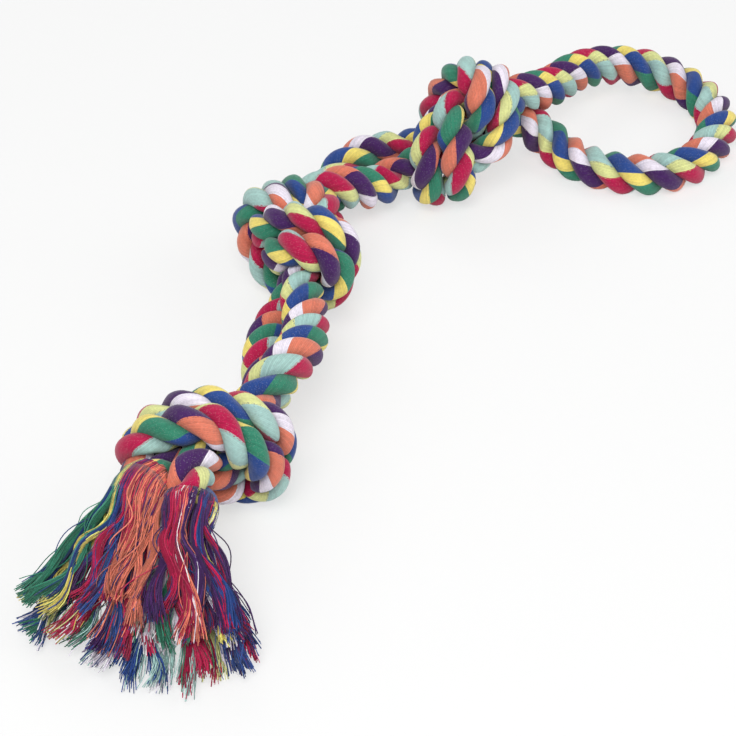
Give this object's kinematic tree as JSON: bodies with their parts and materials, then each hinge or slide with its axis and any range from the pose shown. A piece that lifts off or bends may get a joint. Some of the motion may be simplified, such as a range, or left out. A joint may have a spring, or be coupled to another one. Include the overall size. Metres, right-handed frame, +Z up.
{
  "type": "rope dog toy",
  "caption": "Knotted rope tug toy for dogs: multicoloured laid cotton rope, doubled, with overhand knots, a hand loop at the fold and a combed yarn tassel at the free ends.",
  "frame": {"origin": "below the middle of the toy's box, on the floor that it lies on", "axes": "+X along the toy from the tassel to the hand loop, +Z up from the floor"},
  "size_m": [0.4952, 0.1818, 0.0659],
  "materials": {
    "rope_a": "matt multicoloured laid cotton rope",
    "rope_b": "matt multicoloured laid cotton rope",
    "rope_loop": "matt multicoloured laid cotton rope",
    "yarn_blue": "loose combed cotton yarn",
    "yarn_yellow": "loose combed cotton yarn",
    "yarn_green": "loose combed cotton yarn",
    "yarn_orange": "loose combed cotton yarn",
    "yarn_white": "loose combed cotton yarn",
    "yarn_purple": "loose combed cotton yarn",
    "yarn_mint": "loose combed cotton yarn",
    "yarn_lime": "loose combed cotton yarn",
    "yarn_red": "loose combed cotton yarn"
  },
  "bodies": {
    "middle_knot": {"middle_knot_a": "rope_a", "middle_knot_b": "rope_b"},
    "upper_span": {"upper_span_a": "rope_a", "upper_span_b": "rope_b"},
    "loop_knot": {"loop_knot_a": "rope_a", "loop_knot_b": "rope_b"},
    "loop_neck": {"loop_neck_a": "rope_a", "loop_neck_b": "rope_b"},
    "lower_span": {"lower_span_a": "rope_a", "lower_span_b": "rope_b"},
    "tassel_knot": {"tassel_knot_a": "rope_a", "tassel_knot_b": "rope_b"},
    "tassel_neck": {"tassel_neck_a": "rope_a", "tassel_neck_b": "rope_b"},
    "loop": {"hand_loop": "rope_loop"},
    "tassel": {"tuft_a_blue": "yarn_blue", "tuft_a_green": "yarn_green", "tuft_a_lime": "yarn_lime", "tuft_a_mint": "yarn_mint", "tuft_a_orange": "yarn_orange", "tuft_a_purple": "yarn_purple", "tuft_a_red": "yarn_red", "tuft_a_white": "yarn_white", "tuft_a_yellow": "yarn_yellow", "tuft_b_blue": "yarn_blue", "tuft_b_green": "yarn_green", "tuft_b_lime": "yarn_lime", "tuft_b_mint": "yarn_mint", "tuft_b_orange": "yarn_orange", "tuft_b_purple": "yarn_purple", "tuft_b_red": "yarn_red", "tuft_b_white": "yarn_white", "tuft_b_yellow": "yarn_yellow"}
  },
  "joints": [
    {"name": "upper_sway", "type": "hinge", "parent": "middle_knot", "child": "upper_span", "pos_m": [0.03082, 0.0691, 0.01643], "axis": [0, 0, 1], "range_deg": [-40, 40], "deforming": ["upper_span_a", "upper_span_b"]},
    {"name": "upper_lift", "type": "hinge", "parent": "upper_span", "child": "loop_knot", "pos_m": [0.06575, 0.06958, 0.01573], "axis": [-0.0326, -0.9995, 0], "range_deg": [-35, 40]},
    {"name": "loop_sway", "type": "hinge", "parent": "loop_knot", "child": "loop_neck", "pos_m": [0.14268, 0.03018, 0.03022], "axis": [0, 0, 1], "range_deg": [-30, 35], "deforming": ["loop_neck_a", "loop_neck_b"]},
    {"name": "loop_lift", "type": "hinge", "parent": "loop_neck", "child": "loop", "pos_m": [0.15395, 0.02329, 0.02191], "axis": [-0.6138, -0.7895, 0], "range_deg": [-35, 50]},
    {"name": "lower_sway", "type": "hinge", "parent": "middle_knot", "child": "lower_span", "pos_m": [-0.05576, 0.02075, 0.02429], "axis": [0, 0, 1], "range_deg": [-40, 40], "deforming": ["lower_span_a", "lower_span_b"]},
    {"name": "lower_lift", "type": "hinge", "parent": "lower_span", "child": "tassel_knot", "pos_m": [-0.08922, -0.00061, 0.03184], "axis": [-0.48, 0.8773, 0], "range_deg": [-35, 40]},
    {"name": "tassel_sway", "type": "hinge", "parent": "tassel_knot", "child": "tassel_neck", "pos_m": [-0.17244, -0.01544, 0.04234], "axis": [0, 0, 1], "range_deg": [-35, 35], "deforming": ["tassel_neck_a", "tassel_neck_b"]},
    {"name": "tassel_lift", "type": "hinge", "parent": "tassel_neck", "child": "tassel", "pos_m": [-0.1802, -0.01877, 0.04219], "axis": [-0.4092, 0.9124, 0], "range_deg": [-30, 45]}
  ]
}
